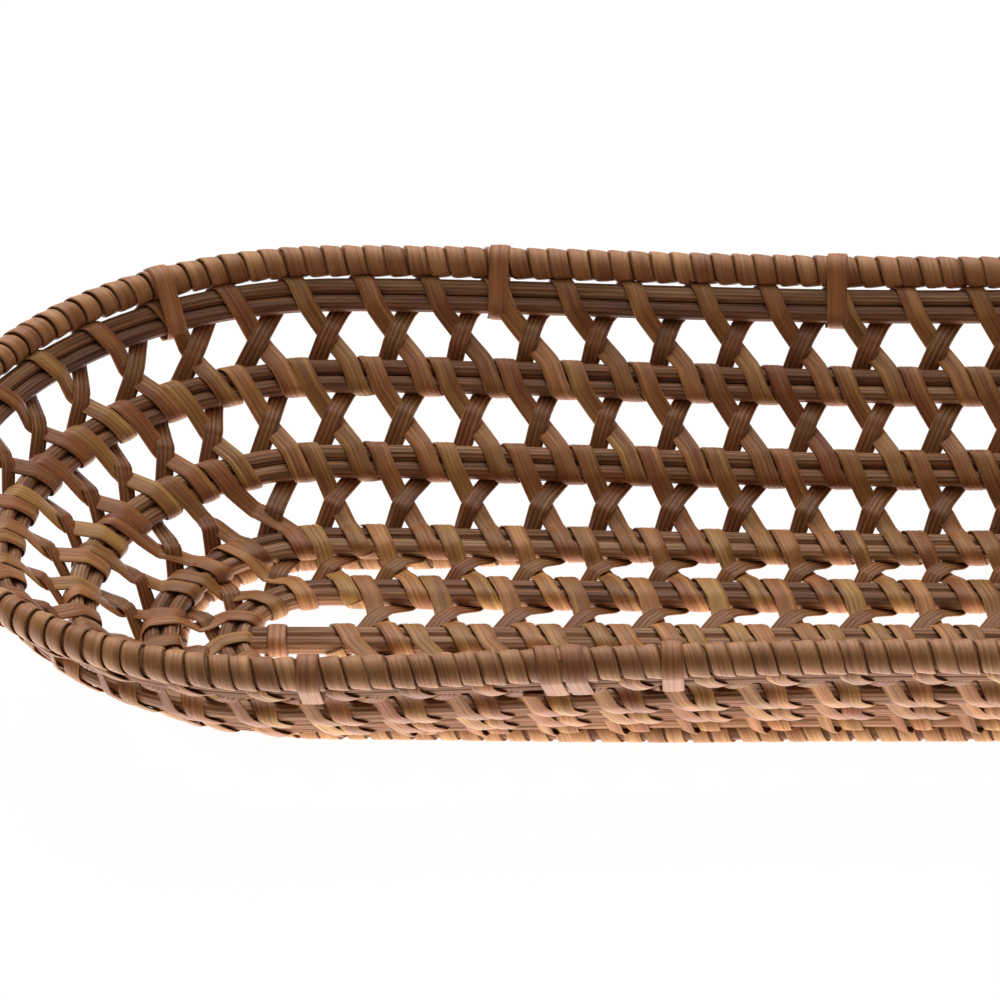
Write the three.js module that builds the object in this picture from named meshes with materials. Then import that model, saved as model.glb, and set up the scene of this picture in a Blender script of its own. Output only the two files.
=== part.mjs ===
// An oblong open-laced rattan tray: a bound rim, five oblong rails of paired strands round a straight
// centre rail, flat peel laced between them in open hexagons, and a bound foot ring under the base.
// Millimetres, +Z up. The origin is the middle of the footprint, on the surface that the tray stands on.
import * as THREE from 'three';

// Plan of the tray
const PITCH = 13.6; // one hexagon along a straight side
const COLUMNS = 18; // hexagons along a straight side
const WAIST = 0.07; // share of its half width by which a side bows inwards at the middle
const BASE_INNER_HALF = 17.6; // half width of the inner base rail, to its centre line
const BASE_EDGE_HALF = 35.7; // half width of the rail where the base turns up into the wall
const BASE_EDGE_LEAN = 17; // degrees above the base

// The wall from the base edge rail upwards, rail by rail
const LOWER_SPACING = 16;
const LOWER_SLOPE = 48; // degrees above the base
const MIDDLE_SPACING = 17.9;
const MIDDLE_SLOPE = 42.5;
const UPPER_SPACING = 16.4;
const UPPER_SLOPE = 47;

// Rattan
const STRAND = 3.5; // diameter of one strand of a rail
const PEEL_WIDTH = 3.9; // width of a lacing strip, measured along the rail
const PEEL_CROWN = 0.55; // thickness of a lacing strip at its crown
const CLEARANCE = 0.3; // between pieces that touch on the tray

// Rim
const RIM_DIAMETER = 6.4;
const RIM_BINDING = 0.4; // thickness of the peel wound round the rim's core
const RIM_INSET = 0.7; // of the rim from the upper rail's own slope, inwards
const LASHING_WIDTH = 4.4; // of the strips that tie the rim to the upper rail
const LASHING_THICKNESS = 0.5;
const LASHED_COLUMNS = [2, 7, 12, 17]; // their places along each side
const LASHED_END_COLUMNS = [6, 12]; // and over each round end
const BINDING_GAP = 1; // where a loop's binding starts and ends
const SPLICE_WIDTH = 7; // of the tie over the ends of the rim's binding
const SPLICE_COLUMN = 13.5; // its place along the near side

// Foot ring
const FOOT_DIAMETER = 3.8;
const FOOT_BINDING = 0.4;

// Centre rail
const END_BINDING_WIDTH = 6; // of the peel wound round each of its ends

// Hexagons over each round end, from the rim to the base
const WALL_END_COLUMNS = 15;
const LOWER_END_COLUMNS = 10;
const BASE_END_COLUMNS = 5;

// Facets
const STRAND_SIDES = 6;
const BINDING_SIDES = 8;
const SIDE_STEPS = 6; // facets along a straight side
const END_SAG = 0.35; // most that a facet of a round end cuts inside its curve

const STRAIGHT = PITCH * COLUMNS;
const AROUND = 4; // t once round the tray
const HALF_TURN = Math.PI;
const FLAT_SHARE = 0.8; // height of a cut section's centre over its flat, as a share of its radius
const radians = THREE.MathUtils.degToRad;

const COLOURS = {
  rim: 0xa98562,
  lashing: 0x9c7048,
  rail: 0x7d624a,
  peelA: 0x8a5a35,
  peelB: 0x7d5a2c,
  foot: 0xb08a62,
};

// A place on the plan: t runs clockwise seen from above, one unit for each far side, right end,
// near side and left end. The near side and left end are the first two turned by half a turn.
function planPoint(half, t) {
  const around = ((t % AROUND) + AROUND) % AROUND;
  const turned = around >= 2 ? -1 : 1;
  const part = around % 2;
  const point = new THREE.Vector3();
  const outward = new THREE.Vector3();
  if (part < 1) {
    const v = 2 * part - 1;
    const bow = (1 - v * v) ** 2;
    const slope = (half * WAIST * 4 * v * (1 - v * v) * 2) / STRAIGHT;
    point.set((v * STRAIGHT) / 2, half * (1 - WAIST * bow), 0);
    outward.set(-slope, 1, 0).normalize();
  } else {
    const angle = HALF_TURN / 2 - (part - 1) * HALF_TURN;
    outward.set(Math.cos(angle), Math.sin(angle), 0);
    point.set(STRAIGHT / 2, 0, 0).addScaledVector(outward, half);
  }
  return { point: point.multiplyScalar(turned), outward: outward.multiplyScalar(turned) };
}

// The t of a point on the plan
function placeOf({ x, y }) {
  const turned = x > STRAIGHT / 2 || (x >= -STRAIGHT / 2 && y > 0) ? 1 : -1;
  const along = x * turned;
  const outward = y * turned;
  const start = turned > 0 ? 0 : 2;
  if (along <= STRAIGHT / 2) return start + 0.5 + along / STRAIGHT;
  return start + 1 + Math.atan2(along - STRAIGHT / 2, outward) / HALF_TURN;
}

// Stations at which an oblong loop has its facets' corners
function loopStations(half) {
  const endSteps = Math.ceil(HALF_TURN / (2 * Math.acos(1 - END_SAG / half)));
  const stations = [];
  for (let part = 0; part < AROUND; part += 1) {
    const steps = part % 2 === 0 ? SIDE_STEPS : endSteps;
    for (let step = 0; step < steps; step += 1) stations.push(part + step / steps);
  }
  return stations;
}

// An oblong rail. Its two strands lie side by side along its lean, which is measured from the level
// outwards. h runs along the lean and n square to it, towards the inside of the tray.
class Rail {
  constructor(half, height, lean) {
    this.half = half;
    this.height = height;
    this.lean = radians(lean);
    this.stations = loopStations(half);
  }

  // The point at h, n from the rail's centre line, on the same facets as its strands
  at(t, h, n) {
    const around = ((t % AROUND) + AROUND) % AROUND;
    let index = this.stations.length - 1;
    while (this.stations[index] > around) index -= 1;
    const start = this.stations[index];
    const end = index + 1 < this.stations.length ? this.stations[index + 1] : AROUND;
    const share = (around - start) / (end - start);
    const a = planPoint(this.half, start);
    const b = planPoint(this.half, end);
    const outward = a.outward.lerp(b.outward, share);
    const out = h * Math.cos(this.lean) - n * Math.sin(this.lean);
    const up = h * Math.sin(this.lean) + n * Math.cos(this.lean);
    return a.point.lerp(b.point, share).addScaledVector(outward, out).setZ(this.height + up);
  }

  // The level direction along the rail
  along(t) {
    const { outward } = planPoint(this.half, t);
    return new THREE.Vector3(outward.y, -outward.x, 0);
  }

  // The step in t that is a length along the rail
  step(t, length) {
    const part = Math.floor(((t % AROUND) + AROUND) % AROUND);
    return length / (part % 2 === 0 ? STRAIGHT : HALF_TURN * this.half);
  }
}

// The straight rail along the middle of the base, seen from its far side, or from its near side
class CentreRail {
  constructor(height, side) {
    this.height = height;
    this.side = side;
    this.start = side > 0 ? 0 : 2;
  }

  at(t, h, n) {
    const x = (t - this.start - 0.5) * STRAIGHT;
    return new THREE.Vector3(x * this.side, h * this.side, this.height + n);
  }

  along() {
    return new THREE.Vector3(this.side, 0, 0);
  }

  step(t, length) {
    return length / STRAIGHT;
  }
}

// A closed mesh from a list of rings with the same number of corners. It is turned outwards by its volume.
function meshFromRings(rings, closed) {
  const sides = rings[0].length;
  const positions = rings.flat().flatMap((corner) => [corner.x, corner.y, corner.z]);
  const faces = [];
  const last = closed ? rings.length : rings.length - 1;
  for (let ring = 0; ring < last; ring += 1) {
    const next = (ring + 1) % rings.length;
    for (let side = 0; side < sides; side += 1) {
      const right = (side + 1) % sides;
      const a = ring * sides + side;
      const b = ring * sides + right;
      const c = next * sides + right;
      const d = next * sides + side;
      faces.push(a, b, c, a, c, d);
    }
  }
  if (!closed) {
    const end = (rings.length - 1) * sides;
    for (let side = 1; side < sides - 1; side += 1) {
      faces.push(0, side + 1, side, end, end + side, end + side + 1);
    }
  }
  return outwardGeometry(positions, faces);
}

// A tube with a bore, open at both ends
function hollowFromRings(outer, inner) {
  const sides = outer[0].length;
  const count = outer.length * sides;
  const positions = [...outer.flat(), ...inner.flat()].flatMap((corner) => [corner.x, corner.y, corner.z]);
  const faces = [];
  for (let ring = 0; ring < outer.length - 1; ring += 1) {
    for (let side = 0; side < sides; side += 1) {
      const right = (side + 1) % sides;
      const a = ring * sides + side;
      const b = ring * sides + right;
      const c = a + sides + right - side;
      const d = a + sides;
      faces.push(a, b, c, a, c, d);
      faces.push(count + a, count + c, count + b, count + a, count + d, count + c);
    }
  }
  const end = (outer.length - 1) * sides;
  for (let side = 0; side < sides; side += 1) {
    const right = (side + 1) % sides;
    faces.push(side, count + side, count + right, side, count + right, right);
    faces.push(end + side, end + right, count + end + right);
    faces.push(end + side, count + end + right, count + end + side);
  }
  return outwardGeometry(positions, faces);
}

function outwardGeometry(positions, faces) {
  let volume = 0;
  const corner = [new THREE.Vector3(), new THREE.Vector3(), new THREE.Vector3()];
  for (let face = 0; face < faces.length; face += 3) {
    corner.forEach((point, index) => point.fromArray(positions, faces[face + index] * 3));
    volume += corner[0].dot(corner[1].clone().cross(corner[2]));
  }
  if (volume < 0) faces.reverse();
  const geometry = new THREE.BufferGeometry();
  geometry.setAttribute('position', new THREE.Float32BufferAttribute(positions, 3));
  geometry.setIndex(faces);
  geometry.computeVertexNormals();
  return geometry;
}

// Corners of a round section, each as an [h, n] pair. A cut section lies flat on its underside.
function roundSection(radius, sides, cut = false) {
  const flat = cut ? Math.acos(FLAT_SHARE) : 0;
  const sweep = 2 * (HALF_TURN - flat);
  const steps = cut ? sides - 1 : sides;
  return Array.from({ length: sides }, (_, index) => {
    const angle = -HALF_TURN / 2 + flat + (sweep * index) / steps;
    return [radius * Math.cos(angle), radius * Math.sin(angle)];
  });
}

// Rings of a section that follows a rail, offset by h and n, from one station to another
function ringsAlong(rail, section, h, n, stations) {
  return stations.map((t) => section.map(([dh, dn]) => rail.at(t, h + dh, n + dn)));
}

// One strand of an oblong rail
function strandLoop(rail, h) {
  const section = roundSection(STRAND / 2, STRAND_SIDES);
  return meshFromRings(ringsAlong(rail, section, h, 0, rail.stations), true);
}

// A flat peel strip with a crowned face. Each place on its path gives the middle of its flat face, the
// direction of its width and the crown's place above it.
function peelStrip(path, closed) {
  const rings = path.map(({ middle, along, crown }) => [
    middle.clone().addScaledVector(along, -PEEL_WIDTH / 2),
    middle.clone().addScaledVector(along, PEEL_WIDTH / 2),
    crown,
  ]);
  return meshFromRings(rings, closed);
}

const WRAP_H = STRAND + CLEARANCE; // flat face of a strip over a rail's edge
const WRAP_N = STRAND / 2 + CLEARANCE; // flat face of a strip on a rail's face
const CONTACT_H = 0.65 * STRAND; // where a strip leaves the back of a rail

// A place on a strip's path, on the wrap round a rail
function wrapPlace(rail, t, h, n, liftH, liftN) {
  return {
    middle: rail.at(t, h, n),
    along: rail.along(t),
    crown: rail.at(t, h + liftH * PEEL_CROWN, n + liftN * PEEL_CROWN),
  };
}

const HAIR = 0.001; // a step in t that stays on the near side of a place

// The lacing between two rails. Each strip comes over the outer rail, runs down the inner face to the
// next place on the inner rail, goes under it, and runs up behind both to the next place on the outer
// rail. Two such strips, a place apart, cross half-way between the rails and leave hexagons open.
function lacing(outer, inner, outerPlaces, innerPlaces, passLength, first, closed) {
  const count = outerPlaces.length;
  const contactShare = (WRAP_H + CONTACT_H) / passLength;
  const path = [];
  const place = (list, index) => list[index % count] + AROUND * Math.floor(index / count);
  const passes = closed ? count : count - 1;
  for (let index = 0; index < passes; index += 1) {
    if ((index + first) % 2 === 0) {
      const start = place(outerPlaces, index);
      const end = place(innerPlaces, index + 1);
      path.push(wrapPlace(outer, start + outer.step(start, WRAP_SHIFT), WRAP_H, WRAP_N, 1, 1));
      path.push(wrapPlace(inner, end - inner.step(end - HAIR, WRAP_SHIFT), -WRAP_H, WRAP_N, -1, 1));
    } else {
      const start = place(innerPlaces, index);
      const end = place(outerPlaces, index + 1);
      const under = wrapPlace(inner, start + inner.step(start, WRAP_SHIFT), -WRAP_H, -WRAP_N, -1, -1);
      const over = wrapPlace(outer, end - outer.step(end - HAIR, WRAP_SHIFT), WRAP_H, -WRAP_N, 1, -1);
      const contact = (share) => placeOf(under.middle.clone().lerp(over.middle, share));
      path.push(under);
      path.push(wrapPlace(inner, contact(contactShare), CONTACT_H, -WRAP_N, 0, -1));
      path.push(wrapPlace(outer, contact(1 - contactShare), -CONTACT_H, -WRAP_N, 0, -1));
      path.push(over);
    }
  }
  return peelStrip(path, closed);
}

// Places of the wraps round a whole rail: evenly along the sides, and over each end at the given shares
function placesRound(endShares) {
  return [0, 2].flatMap((part) => [
    ...sideShares.map((share) => part + share),
    ...endShares.map((share) => part + 1 + share),
  ]);
}

const betweenShares = (count) => Array.from({ length: count - 1 }, (_, index) => (index + 1) / count);

// The wraps of one lacing on a rail that another lacing shares lie beside the other's, so a lacing with
// fewer hexagons over the end takes the nearest of the other's places
const nearestShares = (count, shared) =>
  betweenShares(count).map((share) => Math.round(share * shared) / shared);

const sideShares = [0, ...betweenShares(COLUMNS), 1];
const wallShares = betweenShares(WALL_END_COLUMNS);
const lowerShares = betweenShares(LOWER_END_COLUMNS);
const baseShares = betweenShares(BASE_END_COLUMNS);

// The two strands of a rail, to either side of its centre line
const strandOffset = STRAND / 2 + CLEARANCE / 2;

// Heights and half widths of the rails, from the base edge upwards. The inner strand of the base edge rail
// lies level with the rest of the base.
const footRadius = FOOT_DIAMETER / 2;
const baseHeight = FLAT_SHARE * footRadius + footRadius + CLEARANCE + PEEL_CROWN + WRAP_N;
const wallStep = (from, spacing, slope) => ({
  half: from.half + spacing * Math.cos(radians(slope)),
  height: from.height + spacing * Math.sin(radians(slope)),
});
const edge = { half: BASE_EDGE_HALF, height: baseHeight + strandOffset * Math.sin(radians(BASE_EDGE_LEAN)) };
const low = wallStep(edge, LOWER_SPACING, LOWER_SLOPE);
const mid = wallStep(low, MIDDLE_SPACING, MIDDLE_SLOPE);
const top = wallStep(mid, UPPER_SPACING, UPPER_SLOPE);

const baseInnerRail = new Rail(BASE_INNER_HALF, baseHeight, 0);
const baseEdgeRail = new Rail(edge.half, edge.height, BASE_EDGE_LEAN);
const lowerRail = new Rail(low.half, low.height, (LOWER_SLOPE + MIDDLE_SLOPE) / 2);
const middleRail = new Rail(mid.half, mid.height, (MIDDLE_SLOPE + UPPER_SLOPE) / 2);
const upperRail = new Rail(top.half, top.height, UPPER_SLOPE);
const centreFar = new CentreRail(baseHeight, 1);
const centreNear = new CentreRail(baseHeight, -1);

// Half of the step that a strip takes along the rail as it goes over an edge. It keeps the strips of two
// neighbouring lacings apart on the rail that they share. They lie closest on the ends of the base edge
// rail, where one leans by at least lowerLean and the other by baseLean while they cross half of the rail.
const shortestPass = HALF_TURN * (1 / LOWER_END_COLUMNS - 0.5 / WALL_END_COLUMNS);
const lowerLean = (WRAP_H * BASE_EDGE_HALF * shortestPass) / (LOWER_SPACING + 2 * WRAP_H);
const innerReach = BASE_INNER_HALF - WRAP_H;
const basePass = HALF_TURN / BASE_END_COLUMNS;
const baseRun = BASE_EDGE_HALF + WRAP_H - innerReach * Math.cos(basePass);
const baseLean = (WRAP_H * innerReach * Math.sin(basePass)) / baseRun;
const WRAP_SHIFT = Math.max(CLEARANCE, (PEEL_WIDTH + CLEARANCE - lowerLean - baseLean) / 2);

// The rim lies just clear of the strips over the upper rail
const rimRadius = RIM_DIAMETER / 2;
const rimReach = WRAP_H + PEEL_CROWN + CLEARANCE + rimRadius;

// The foot ring's centre line, under the inner strand of the base edge rail
const footHalf = edge.half - strandOffset * Math.cos(baseEdgeRail.lean);
const footRail = new Rail(footHalf, FLAT_SHARE * footRadius, 0);

const tray = new THREE.Group();
tray.name = 'rattan_tray';

function addPiece(name, geometry, colour, roughness = 0.6) {
  const material = new THREE.MeshStandardMaterial({ color: colour, roughness, metalness: 0 });
  const mesh = new THREE.Mesh(geometry, material);
  mesh.name = name;
  tray.add(mesh);
}

// Stations of a binding that starts and ends at a gap in its loop
function stationsWithGap(rail, place) {
  const halfGap = rail.step(place, BINDING_GAP / 2);
  const start = place + halfGap;
  const end = place + AROUND - halfGap;
  const between = [...rail.stations, ...rail.stations.map((t) => t + AROUND)];
  return [start, ...between.filter((t) => t > start + halfGap && t < end - halfGap), end];
}

// A loop that runs beside a rail: its core, and the peel wound round it from one side of a gap to the other
function addBoundLoop(name, rail, h, n, radius, binding, place, colour, cut) {
  const boreRadius = radius - binding;
  const coreRadius = (boreRadius - CLEARANCE) * Math.cos(HALF_TURN / BINDING_SIDES);
  const core = ringsAlong(rail, roundSection(coreRadius, BINDING_SIDES, cut), h, n, rail.stations);
  const stations = stationsWithGap(rail, place);
  const outer = ringsAlong(rail, roundSection(radius, BINDING_SIDES, cut), h, n, stations);
  const inner = ringsAlong(rail, roundSection(boreRadius, BINDING_SIDES, cut), h, n, stations);
  addPiece(`${name}_core`, meshFromRings(core, true), COLOURS.rail);
  addPiece(`${name}_binding`, hollowFromRings(outer, inner), colour);
}

// The outline of a band drawn round a group of circles, in the plane across a rail. Each side of it lies
// against the farthest circle in that side's direction.
function bandOutline(circles, grow, sides) {
  const turn = (2 * HALF_TURN) / sides;
  const distances = Array.from({ length: sides }, (_, index) => {
    const dh = Math.cos(turn * index);
    const dn = Math.sin(turn * index);
    return grow + Math.max(...circles.map(({ h, n, radius }) => h * dh + n * dn + radius));
  });
  return distances.map((distance, index) => {
    const across = (distances[(index + 1) % sides] - distance * Math.cos(turn)) / Math.sin(turn);
    const angle = turn * index;
    return [
      distance * Math.cos(angle) - across * Math.sin(angle),
      distance * Math.sin(angle) + across * Math.cos(angle),
    ];
  });
}

// A flat band round a group of circles, at one place on a rail
function band(rail, t, circles, width, thickness, sides) {
  const half = rail.along(t).multiplyScalar(width / 2);
  const corner = ([h, n], sign) => rail.at(t, h, n).addScaledVector(half, sign);
  const inside = bandOutline(circles, CLEARANCE, sides);
  const outside = bandOutline(circles, CLEARANCE + thickness, sides);
  const rings = inside.map((place, index) => [
    corner(place, -1),
    corner(place, 1),
    corner(outside[index], 1),
    corner(outside[index], -1),
  ]);
  return meshFromRings(rings, true);
}

// Rim and foot ring, each a core bound with peel
const splicePlace = 2 + SPLICE_COLUMN / COLUMNS;
addBoundLoop('rim', upperRail, rimReach, RIM_INSET, rimRadius, RIM_BINDING, splicePlace, COLOURS.rim, false);
const rimCircle = { h: rimReach, n: RIM_INSET, radius: rimRadius };
const spliceTie = band(upperRail, splicePlace, [rimCircle], SPLICE_WIDTH, LASHING_THICKNESS, BINDING_SIDES);
addPiece('rim_splice_tie', spliceTie, COLOURS.lashing);
addBoundLoop('foot_ring', footRail, 0, 0, footRadius, FOOT_BINDING, 0.5, COLOURS.foot, true);

// Rails of paired strands
[
  ['upper_rail', upperRail],
  ['middle_rail', middleRail],
  ['lower_rail', lowerRail],
  ['base_edge_rail', baseEdgeRail],
  ['base_inner_rail', baseInnerRail],
].forEach(([name, rail]) => {
  addPiece(`${name}_outer_strand`, strandLoop(rail, strandOffset), COLOURS.rail);
  addPiece(`${name}_inner_strand`, strandLoop(rail, -strandOffset), COLOURS.rail);
});

// Centre rail, up to the strips on the inner base rail's ends, and the peel wound round its own ends
const endReach = BASE_INNER_HALF - WRAP_H - PEEL_CROWN - CLEARANCE;
const centreEnd = STRAIGHT / 2 + Math.sqrt(endReach ** 2 - (strandOffset + STRAND / 2) ** 2);
function centreStrand(side) {
  const section = roundSection(STRAND / 2, STRAND_SIDES);
  const rings = [-centreEnd, centreEnd].map((x) =>
    section.map(([y, z]) => new THREE.Vector3(x, y + side * strandOffset, baseHeight + z)),
  );
  return meshFromRings(rings, false);
}
addPiece('centre_rail_far_strand', centreStrand(1), COLOURS.rail);
addPiece('centre_rail_near_strand', centreStrand(-1), COLOURS.rail);

const pairCircles = [-1, 1].map((side) => ({ h: side * strandOffset, n: 0, radius: STRAND / 2 }));
const bindingHalf = strandOffset + STRAND / 2 + CLEARANCE + LASHING_THICKNESS;
const bindingEnd = Math.sqrt(endReach ** 2 - bindingHalf ** 2) - END_BINDING_WIDTH / 2;
[
  ['right', centreFar, 1 + bindingEnd / STRAIGHT],
  ['left', centreNear, 3 + bindingEnd / STRAIGHT],
].forEach(([end, rail, place]) => {
  const binding = band(rail, place, pairCircles, END_BINDING_WIDTH, LASHING_THICKNESS, BINDING_SIDES);
  addPiece(`centre_rail_${end}_binding`, binding, COLOURS.lashing);
});

// Lacings, each of two strips
const spreads = [
  ['upper_lacing', upperRail, middleRail, wallShares, wallShares, UPPER_SPACING],
  ['middle_lacing', middleRail, lowerRail, wallShares, wallShares, MIDDLE_SPACING],
  [
    'lower_lacing',
    lowerRail,
    baseEdgeRail,
    nearestShares(LOWER_END_COLUMNS, WALL_END_COLUMNS),
    lowerShares,
    LOWER_SPACING,
  ],
  [
    'base_lacing',
    baseEdgeRail,
    baseInnerRail,
    nearestShares(BASE_END_COLUMNS, LOWER_END_COLUMNS),
    baseShares,
    BASE_EDGE_HALF - BASE_INNER_HALF,
  ],
];
function addLacing(name, outer, inner, outerPlaces, innerPlaces, spacing, closed) {
  [COLOURS.peelA, COLOURS.peelB].forEach((colour, first) => {
    const strip = lacing(outer, inner, outerPlaces, innerPlaces, spacing + 2 * WRAP_H, first, closed);
    addPiece(`${name}_${'ab'[first]}`, strip, colour);
  });
}
spreads.forEach(([name, outer, inner, outerShares, innerShares, spacing]) => {
  addLacing(name, outer, inner, placesRound(outerShares), placesRound(innerShares), spacing, true);
});
[
  ['far', centreFar],
  ['near', centreNear],
].forEach(([side, centre]) => {
  const places = sideShares.map((share) => centre.start + share);
  addLacing(`centre_lacing_${side}`, baseInnerRail, centre, places, places, BASE_INNER_HALF, false);
});

// Lashings that tie the rim to the upper rail, over the lacing's strips
const lashedPlaces = [0, 2].flatMap((part) => [
  ...LASHED_COLUMNS.map((column) => part + column / COLUMNS),
  ...LASHED_END_COLUMNS.map((column) => part + 1 + column / WALL_END_COLUMNS),
]);
const lashedCircles = [
  rimCircle,
  ...pairCircles.map((circle) => ({ ...circle, radius: STRAND / 2 + CLEARANCE + PEEL_CROWN })),
  ...[-1, 1].map((side) => ({ h: WRAP_H + PEEL_CROWN, n: side * (WRAP_N + PEEL_CROWN), radius: 0 })),
];
lashedPlaces.forEach((place, number) => {
  const lashing = band(upperRail, place, lashedCircles, LASHING_WIDTH, LASHING_THICKNESS, BINDING_SIDES);
  addPiece(`rim_lashing_${String(number + 1).padStart(2, '0')}`, lashing, COLOURS.lashing);
});

export default tray;
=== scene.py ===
"""A long oval rattan tray with open hexagonal lacing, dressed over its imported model.

Sizes are in millimetres in the classes and turn to metres where a mesh is made.
"""

import logging
from dataclasses import asdict, dataclass
from enum import Enum
from functools import partial
from typing import Callable, Sequence

import bpy
import numpy as np
from mathutils import Matrix, Vector


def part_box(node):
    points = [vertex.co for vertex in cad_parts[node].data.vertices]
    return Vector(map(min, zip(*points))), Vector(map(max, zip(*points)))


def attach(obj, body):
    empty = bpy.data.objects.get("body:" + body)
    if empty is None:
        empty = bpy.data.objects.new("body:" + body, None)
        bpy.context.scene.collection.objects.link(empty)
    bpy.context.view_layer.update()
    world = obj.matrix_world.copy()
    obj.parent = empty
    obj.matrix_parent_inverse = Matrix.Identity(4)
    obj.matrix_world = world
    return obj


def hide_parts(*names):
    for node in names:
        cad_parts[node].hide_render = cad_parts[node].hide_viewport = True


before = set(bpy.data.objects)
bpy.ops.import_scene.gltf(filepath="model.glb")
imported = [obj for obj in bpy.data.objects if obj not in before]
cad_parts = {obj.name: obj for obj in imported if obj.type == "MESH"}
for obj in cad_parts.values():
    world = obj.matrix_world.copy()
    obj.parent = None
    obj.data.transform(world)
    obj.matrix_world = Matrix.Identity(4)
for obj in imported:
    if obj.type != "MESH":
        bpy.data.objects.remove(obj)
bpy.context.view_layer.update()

LOG = logging.getLogger("rattan_tray")
MM = 0.001
BODY = "root"
RANGE = ("From Min", "From Max", "To Min", "To Max")


def linear_colour(code: str) -> tuple[float, float, float, float]:
    """Turns an sRGB hex colour into linear RGBA.

    Args:
        code: six hex digits, with or without a leading #.

    Returns:
        The colour for a shader socket.
    """
    digits = code.lstrip("#")
    shares = [int(digits[i : i + 2], 16) / 255 for i in (0, 2, 4)]
    r, g, b = (c / 12.92 if c <= 0.04045 else ((c + 0.055) / 1.055) ** 2.4 for c in shares)
    return (r, g, b, 1.0)


def add_node(tree: bpy.types.NodeTree, kind: str, inputs: dict | None = None, **settings: object) -> bpy.types.Node:
    """Adds a node to a tree with its settings, values and links.

    Args:
        tree: the shader or geometry tree.
        kind: the node's type name.
        inputs: socket name or number to a value, or to the output socket that is linked to it.
        settings: the node's own properties.

    Returns:
        The new node.
    """
    node = tree.nodes.new(kind)
    for name, value in settings.items():
        setattr(node, name, value)
    for key, value in (inputs or {}).items():
        socket = node.inputs[key]
        if isinstance(value, bpy.types.NodeSocket):
            tree.links.new(value, socket)
        else:
            socket.default_value = value
    return node


def open_nodes(owner: bpy.types.Material | bpy.types.World) -> Callable[..., bpy.types.Node]:
    """Clears the nodes of a material or world.

    Args:
        owner: the material or world.

    Returns:
        The function that adds a node to it.
    """
    owner.use_nodes = True
    owner.node_tree.nodes.clear()
    return partial(add_node, owner.node_tree)


def add_object(name: str, data: bpy.types.ID) -> bpy.types.Object:
    """Adds an object to the scene.

    Args:
        name: its name.
        data: its mesh, lamp or camera.

    Returns:
        The new object.
    """
    made = bpy.data.objects.new(name, data)
    bpy.context.scene.collection.objects.link(made)
    return made


# ---- Plan and rails


@dataclass(frozen=True)
class Plan:
    """The oblong outline that every rail follows: two sides that bow inwards, and two round ends.

    A place on it is t: 0 to 1 along the far side, then the right end, the near side and the left end.
    """

    pitch: float = 13.6
    columns: int = 18
    waist: float = 0.07

    @property
    def straight(self) -> float:
        """Length of a side."""
        return self.pitch * self.columns

    def point(self, half: float, t: np.ndarray) -> tuple[np.ndarray, np.ndarray]:
        """Places on the outline at a half width, with the outward direction there.

        Args:
            half: half of the outline's width.
            t: the places.

        Returns:
            Points and outward unit vectors, each with x and y in its rows.
        """
        around = np.mod(t, 4.0)
        turned = np.where(around >= 2, -1.0, 1.0)[:, None]
        part = np.mod(around, 2.0)
        v = 2 * np.clip(part, 0, 1) - 1
        slope = half * self.waist * 8 * v * (1 - v * v) / self.straight
        side = np.stack([v * self.straight / 2, half * (1 - self.waist * (1 - v * v) ** 2)], 1)
        side_out = np.stack([-slope, np.ones_like(v)], 1)
        side_out /= np.linalg.norm(side_out, axis=1)[:, None]
        angle = np.pi / 2 - (part - 1) * np.pi
        end_out = np.stack([np.cos(angle), np.sin(angle)], 1)
        end = half * end_out + np.array([self.straight / 2, 0.0])
        on_side = (part < 1)[:, None]
        return np.where(on_side, side, end) * turned, np.where(on_side, side_out, end_out) * turned

    def place_of(self, xy: np.ndarray) -> np.ndarray:
        """The t of points on the plan.

        Args:
            xy: points, with x and y in their rows.

        Returns:
            Their places on the outline.
        """
        x, y = xy[:, 0], xy[:, 1]
        edge = self.straight / 2
        right = (x > edge) | ((x >= -edge) & (y > 0))
        turned = np.where(right, 1.0, -1.0)
        along, outward = x * turned, y * turned
        start = np.where(right, 0.0, 2.0)
        round_end = 1 + np.arctan2(along - edge, outward) / np.pi
        return start + np.where(along <= edge, 0.5 + along / self.straight, round_end)


# Where the hoops bulge, and the places at which the strays of the wraps are given, all as t
BULGE_PLACE, BULGE_SPAN = 3.15, 0.3
STRAY_PLACES = (0.0, 0.12, 0.6, 0.9, 1.3, 3.3, 3.7, 3.85, 4.0)


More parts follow.
